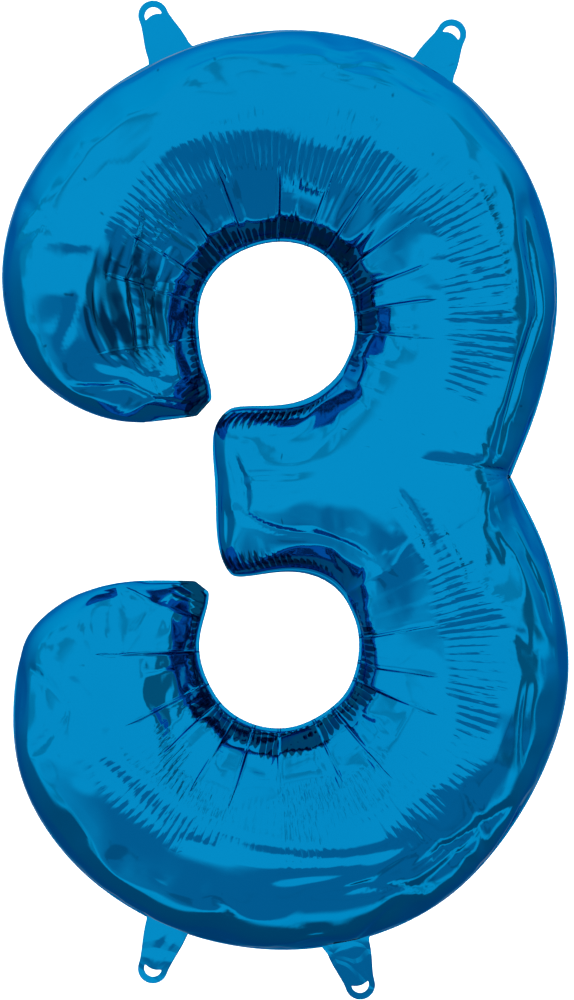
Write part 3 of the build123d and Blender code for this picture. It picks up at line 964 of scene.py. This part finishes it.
def tab_loops(length):
    """The tab's outline and its hole, both starting at the root side and turning the same way."""
    tip, root = TIP / 2, ROOT / 2
    side = [(root + 3.0, -INSIDE), (root + 1.5, -3.5), (root, 0.8)]
    for t in np.linspace(0.1, 1, 12):
        bend = (1 - t) ** 3 * np.array([root, 0.8]) + 3 * t * (1 - t) ** 2 * np.array([root - 0.5, 13.8])
        bend += 3 * t * t * (1 - t) * np.array([tip, length - tip - 9])
        bend += t ** 3 * np.array([tip, length - tip])
        side.append(tuple(bend))
    cap = [(tip * math.cos(a), length - tip + tip * math.sin(a)) for a in np.linspace(0, math.pi, 24)[1:-1]]
    outline = [(0, -INSIDE)] + side + cap + [(-x, y) for x, y in reversed(side)]
    line = length - EDGE - RISE
    half = HORN / 2

    def bow(rise, n):
        radius = (half * half + rise * rise) / (2 * rise)
        reach_angle = math.asin(half / radius)
        if rise > half:
            reach_angle = math.pi - reach_angle
        return [(radius * math.sin(a), line + rise - radius + radius * math.cos(a))
                for a in np.linspace(reach_angle, -reach_angle, n)]
    outer = bow(RISE, 26)
    inner = bow(RISE - THICK, 16)
    mid = len(inner) // 2
    hole = list(reversed(inner[:mid])) + outer + list(reversed(inner[mid:]))
    outer_loop, fine_hole = loop_points(outline, 96), loop_points(hole, 720)
    eye = np.array([0.0, line + 0.58 * RISE])
    hole_turn = np.arctan2(fine_hole[:, 1] - eye[1], fine_hole[:, 0] - eye[0])
    wanted = np.arctan2(outer_loop[:, 1] - eye[1], outer_loop[:, 0] - eye[0])
    order = hole_turn.argsort()
    matched = [np.interp(wanted, hole_turn[order], fine_hole[order, c], period=2 * math.pi) for c in (0, 1)]
    return outer_loop, np.stack(matched, axis=1)


def dented(x, y, dents):
    """How far a point of a tab lies off its plane through its dents, in millimetres."""
    off = 0.0
    for at_x, at_y, heading, long, wide, height in dents:
        c, s = math.cos(math.radians(heading)), math.sin(math.radians(heading))
        run, side = (x - at_x) * c + (y - at_y) * s, (y - at_y) * c - (x - at_x) * s
        off += height * math.exp(-(run / long) ** 2 - abs(side) / wide)
    return off


for name, (root, turn, length, lean, dents) in TABS.items():
    out_loop, hole_loop = tab_loops(length)
    a = math.radians(turn)
    along = Vector((math.cos(a), 0, math.sin(a)))
    across = Vector((math.sin(a), 0, -math.cos(a)))
    base = Vector((root[0] + shift[0], 0, root[1] + shift[1]))
    bm = bmesh.new()
    rings = []
    for k, blend_share in enumerate(SHARES):
        ring = []
        held = k in (0, len(SHARES) - 1)
        for p, q in zip(out_loop, hole_loop):
            x, y = p * (1 - blend_share) + q * blend_share
            from_root = max(0, y + INSIDE)
            puff = 0 if held else 0.55 * math.sin(math.pi * min(1, from_root / length))
            wave = 0 if k == 0 else 0.48 * math.sin(x * 0.33 + turn) * math.exp(-from_root / 14)
            at = (base + across * x + along * y) * MM
            back = lean * max(0, y) * (1 - 0.3 * y / length)
            at.y = -(0.75 + back + puff + wave + dented(x, y, dents) * (0.25 if k == 0 else 1)) * MM
            ring.append(bm.verts.new(at))
        rings.append(ring)
    for low_ring, high_ring in zip(rings, rings[1:]):
        for k in range(len(low_ring)):
            m = (k + 1) % len(low_ring)
            bm.faces.new((low_ring[k], low_ring[m], high_ring[m], high_ring[k]))
    bmesh.ops.recalc_face_normals(bm, faces=bm.faces)
    if sum(f.normal.y for f in bm.faces) > 0:
        bmesh.ops.reverse_faces(bm, faces=bm.faces)
    tab = finish_mesh(name.replace("_tab", "_foil_tab"), bm)
    tab.data.materials.append(tab_foil)
    wall = tab.modifiers.new("two films", "SOLIDIFY")
    wall.thickness = 0.0007
    wall.offset = -1
    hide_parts(name + "_front", name + "_back")
    start = (base - along * 1.0) * MM
    end = (base + along * 2.5) * MM
    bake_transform(tab, "balloon", name, tuple(start), tuple(end))
    tab.visible_glossy = False  # the steep film beside a root would show the tab as a dark block
    print(name, len(tab.data.polygons), "faces")

# %% [markdown]
# ## Studio
# A balloon is a curved mirror, so most of its look is the room: a large soft light in front makes
# the pale face, and dim sides make the deep blue of the flanks and folds.

# %% Floor, lights and camera
def area_light(name, at, target, size, power, size_y=None):
    """A soft box of a size, aimed at a point."""
    data = bpy.data.lights.new(name, "AREA")
    data.energy = power
    data.shape = "RECTANGLE"
    data.size = size
    data.size_y = size_y or size
    obj = bpy.data.objects.new(name, data)
    obj.location = at
    obj.rotation_euler = (Vector(target) - Vector(at)).to_track_quat("-Z", "Y").to_euler()
    obj.visible_glossy = False
    bpy.context.scene.collection.objects.link(obj)
    return obj


def sweep_material():
    """Pale on the side that faces the object, and clear from the other side."""
    m = bpy.data.materials.new("pale floor")
    m.use_nodes = True
    pale = m.node_tree.nodes["Principled BSDF"]
    pale.inputs["Base Color"].default_value = (0.93, 0.93, 0.93, 1)
    pale.inputs["Roughness"].default_value = 0.9
    side = add(m.node_tree, "NewGeometry").outputs["Backfacing"]
    clear_side = add(m.node_tree, "BsdfTransparent").outputs["BSDF"]
    choose = add(m.node_tree, "MixShader", {0: side, 1: pale.outputs["BSDF"], 2: clear_side})
    m.node_tree.links.new(choose.outputs[0], m.node_tree.nodes["Material Output"].inputs["Surface"])
    return m


def sweep():
    """A pale floor that curves up into a wall behind the object."""
    bm = bmesh.new()
    bmesh.ops.create_grid(bm, x_segments=2, y_segments=60, size=1.0)
    for v in bm.verts:
        t = (v.co.y + 1) / 2
        x = v.co.x * 9
        if t < 0.45:
            v.co = Vector((x, -7 + t / 0.45 * 8, -0.78))
        elif t < 0.7:
            bend = (t - 0.45) / 0.25 * math.pi / 2
            v.co = Vector((x, 1 + 1.5 * math.sin(bend), -0.78 + 1.5 * (1 - math.cos(bend))))
        else:
            v.co = Vector((x, 2.5, 0.72 + (t - 0.7) / 0.3 * 6))
    bm.normal_update()
    if sum(f.normal.z for f in bm.faces) < 0:
        bmesh.ops.reverse_faces(bm, faces=bm.faces)
    obj = finish_mesh("studio_sweep", bm)
    obj.data.materials.append(sweep_material())
    return obj


backdrop = sweep()
backdrop.visible_glossy = False
area_light("front box", (-0.5, -3.6, 0.9), (0, 0, 0), 3.0, 22, 3.2)
area_light("top box", (-0.4, -1.2, 2.8), (0, 0, 0.1), 1.8, 16)
area_light("wall wash", (0, 0.6, 3.2), (0, 2.5, 0.2), 4.0, 190, 1.0)


def studio_world():
    """A room: bright in front, dimmer at the sides and behind, and dim low down in front."""
    world = bpy.data.worlds.new("studio")
    world.use_nodes = True
    tree = world.node_tree
    where = add(tree, "TexCoord").outputs["Generated"]
    sideways, depth, height = add(tree, "SeparateXYZ", {0: where}).outputs

    def step(value, low, high, start=0.0, end=1.0):
        ends = {"Value": value, "From Min": low, "From Max": high, "To Min": start, "To Max": end}
        return add(tree, "MapRange", ends, interpolation_type="SMOOTHSTEP").outputs["Result"]

    def times(a, b):
        return add(tree, "Math", {0: a, 1: b}, operation="MULTIPLY").outputs[0]

    def mixed(factor, a, b):
        return add(tree, "Mix", {"Factor": factor, "A": a, "B": b}, data_type="RGBA").outputs["Result"]

    behind = add(tree, "ValToRGB", {"Fac": step(height, -1.0, 1.0)})
    stops = ((0.0, 0.20), (0.45, 0.36), (0.62, 0.48), (1.0, 0.74))
    for k, (position, level) in enumerate(stops):
        made = behind.color_ramp.elements[0] if k == 0 else behind.color_ramp.elements.new(position)
        made.position = position
        made.color = (level, level, level * 1.22, 1)
    low_front = times(step(height, -0.14, -0.34), step(depth, -0.2, -0.34))
    low_front = times(low_front, step(sideways, -0.95, -0.3, 0.35, 1.0))
    in_front = mixed(low_front, (1, 1, 1, 1), (0.40, 0.40, 0.50, 1))
    noise = add(tree, "TexNoise", {"Vector": where, "Scale": 2.6, "Detail": 2.0})
    patch = times(step(noise.outputs["Fac"], 0.53, 0.62), step(depth, -0.82, -0.6, 0.0, 0.34))
    flag = times(step(sideways, 0.82, 0.87), step(sideways, 0.985, 0.95))
    flag = times(times(flag, step(height, -0.45, -0.2)), step(depth, 0.0, -0.2, 0.0, 0.75))
    dark = add(tree, "Math", {0: patch, 1: flag}, operation="MAXIMUM").outputs[0]
    in_front = mixed(dark, in_front, (0.05, 0.05, 0.08, 1))
    room = mixed(step(depth, 0.04, -0.10), behind.outputs["Color"], in_front)
    tree.links.new(room, tree.nodes["Background"].inputs["Color"])
    bpy.context.scene.world = world


studio_world()

camera_data = bpy.data.cameras.new("camera")
camera = bpy.data.objects.new("camera", camera_data)
camera_data.lens = 85
camera_data.sensor_fit = "VERTICAL"
camera_data.sensor_height = 24
distance = 3.06
camera.location = (0.0014, -distance, 0.0004)
camera.rotation_euler = (math.pi / 2, 0, 0)
bpy.context.scene.collection.objects.link(camera)
bpy.context.scene.camera = camera
bpy.context.scene.view_settings.view_transform = "Standard"
